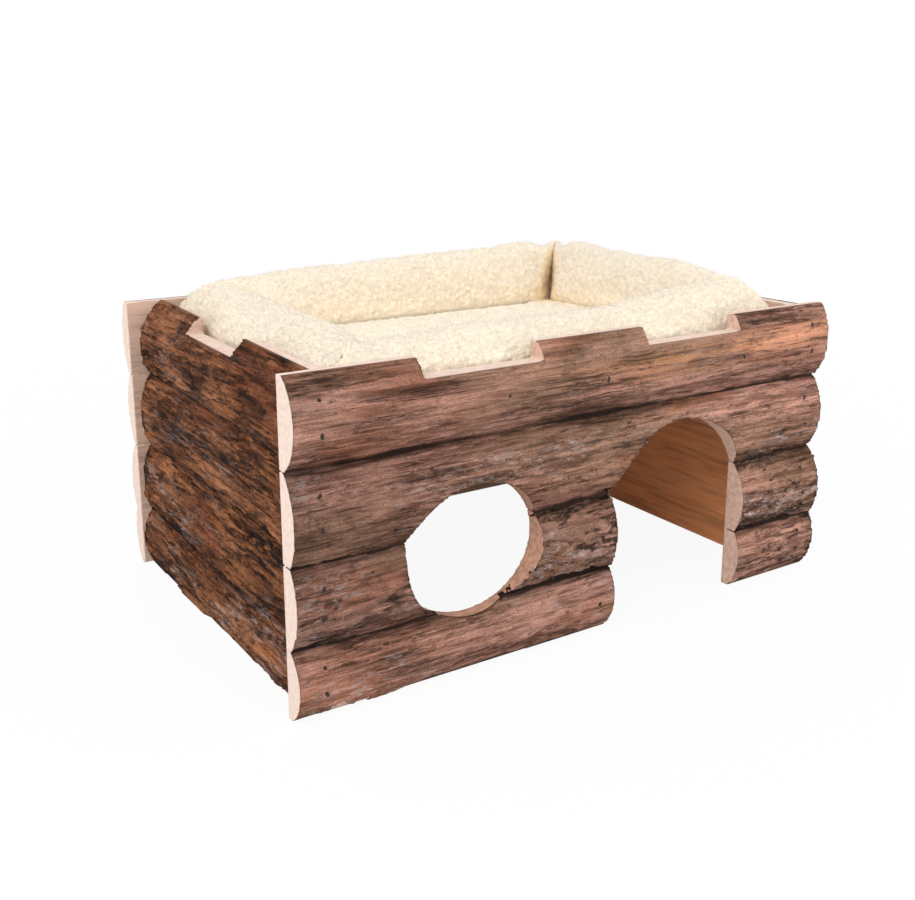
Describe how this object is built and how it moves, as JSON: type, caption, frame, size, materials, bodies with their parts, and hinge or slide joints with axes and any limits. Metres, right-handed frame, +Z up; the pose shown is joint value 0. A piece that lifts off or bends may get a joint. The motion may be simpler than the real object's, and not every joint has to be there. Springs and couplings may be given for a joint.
{
  "type": "wooden guinea pig house",
  "caption": "Small-animal house of bark-on half-round slabs with a round window, an arched doorway, battlements and a plush lying bed that lifts off the roof.",
  "frame": {"origin": "on the floor, in the middle of the house's outline seen from above", "axes": "+X to the right along the front wall, +Y to the back wall, +Z up; the doorway faces -Y"},
  "size_m": [0.4, 0.2882, 0.2025],
  "materials": {
    "bark_slab": "rough bark outside, sawn faces pale",
    "sawn_wood": "sawn, untreated",
    "brad_steel": "dull, darkened",
    "plush": "long curly pile",
    "bed_base_cloth": "plain weave"
  },
  "bodies": {
    "house": {"back_base_slab": "bark_slab", "back_brads": "brad_steel", "back_left_post": "sawn_wood", "back_lower_slab": "bark_slab", "back_right_post": "sawn_wood", "back_top_slab": "bark_slab", "back_upper_slab": "bark_slab", "door_post": "sawn_wood", "front_base_slab_left": "bark_slab", "front_base_slab_right": "bark_slab", "front_brads": "brad_steel", "front_left_post": "sawn_wood", "front_lower_slab_left": "bark_slab", "front_lower_slab_middle": "bark_slab", "front_lower_slab_right": "bark_slab", "front_right_post": "sawn_wood", "front_top_slab": "bark_slab", "front_upper_slab": "bark_slab", "left_base_slab": "bark_slab", "left_brads": "brad_steel", "left_lower_slab": "bark_slab", "left_top_slab": "bark_slab", "left_upper_slab": "bark_slab", "right_base_slab": "bark_slab", "right_brads": "brad_steel", "right_lower_slab": "bark_slab", "right_top_slab": "bark_slab", "right_upper_slab": "bark_slab", "roof_board": "sawn_wood"},
    "bed": {"back_bolster": "plush", "bed_base": "bed_base_cloth", "centre_pad": "plush", "front_bolster": "plush", "left_bolster": "plush", "right_bolster": "plush"}
  },
  "joints": [
    {"name": "bed_lift", "type": "slide", "parent": "house", "child": "bed", "axis": [0, 0, 1], "range_m": [0, 0.06]}
  ]
}
